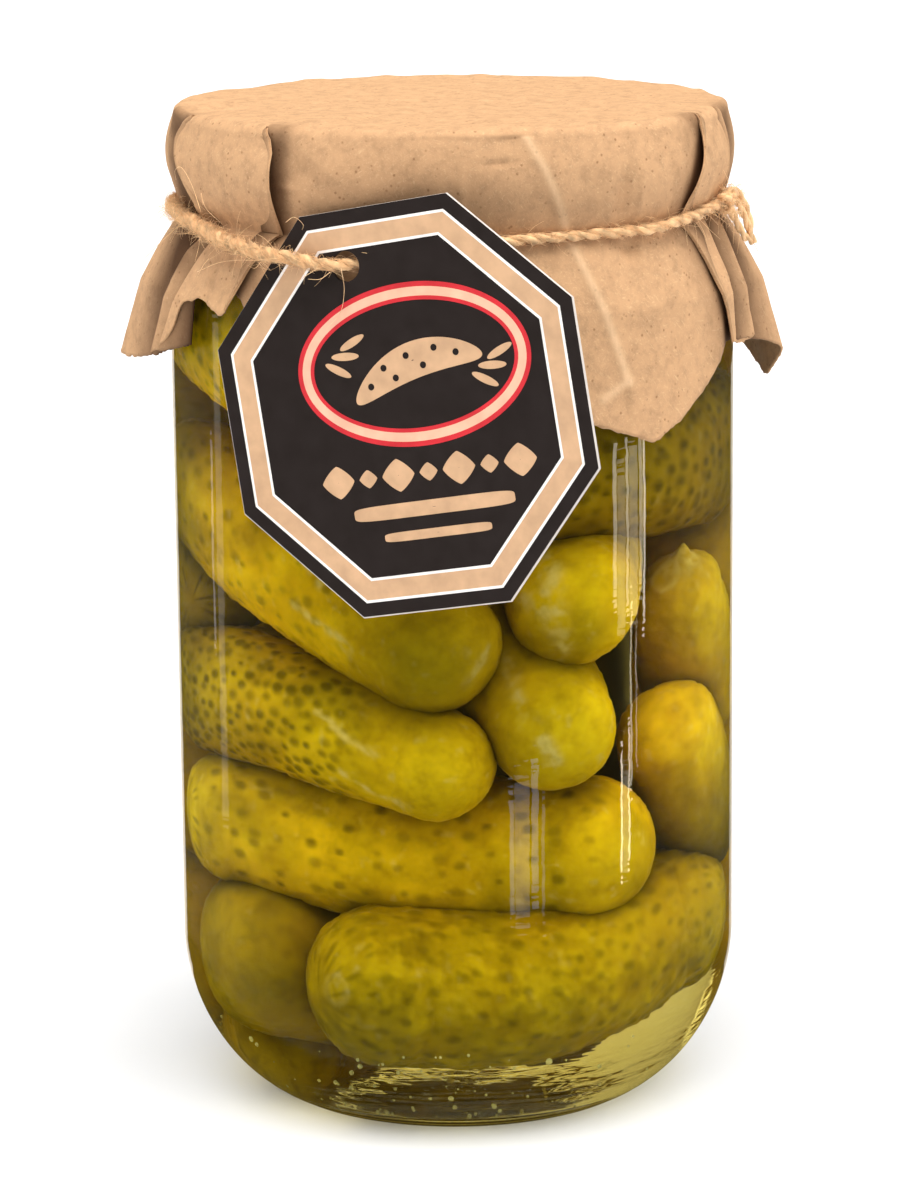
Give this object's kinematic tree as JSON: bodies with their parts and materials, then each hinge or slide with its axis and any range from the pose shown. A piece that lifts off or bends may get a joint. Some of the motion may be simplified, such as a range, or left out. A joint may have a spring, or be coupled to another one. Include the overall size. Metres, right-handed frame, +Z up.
{
  "type": "pickle jar",
  "caption": "Straight round glass jar of whole pickled gherkins in clear brine, covered by kraft paper tied with jute twine, with an octagonal card tag.",
  "frame": {"origin": "centre of the flat on which the jar stands", "axes": "+Z up along the jar's axis, -Y towards the front with the tag, +X to the right seen from the front"},
  "size_m": [0.1022, 0.1109, 0.1583],
  "materials": {
    "jar_glass": "smooth clear container glass, faintly green",
    "gherkin_skin": "wet olive green pickled skin with small dark warts",
    "lacquered_tinplate": "gold lacquered tinplate",
    "kraft_paper": "matte brown kraft paper, creased by hand",
    "jute_twine": "twisted natural jute with loose fibres",
    "printed_card": "dark printed card with a slight sheen"
  },
  "bodies": {
    "root": {"jar": "jar_glass", "pickles": "gherkin_skin", "lid": "lacquered_tinplate", "paper_cover": "kraft_paper", "twine": "jute_twine", "tag": "printed_card"}
  },
  "joints": []
}
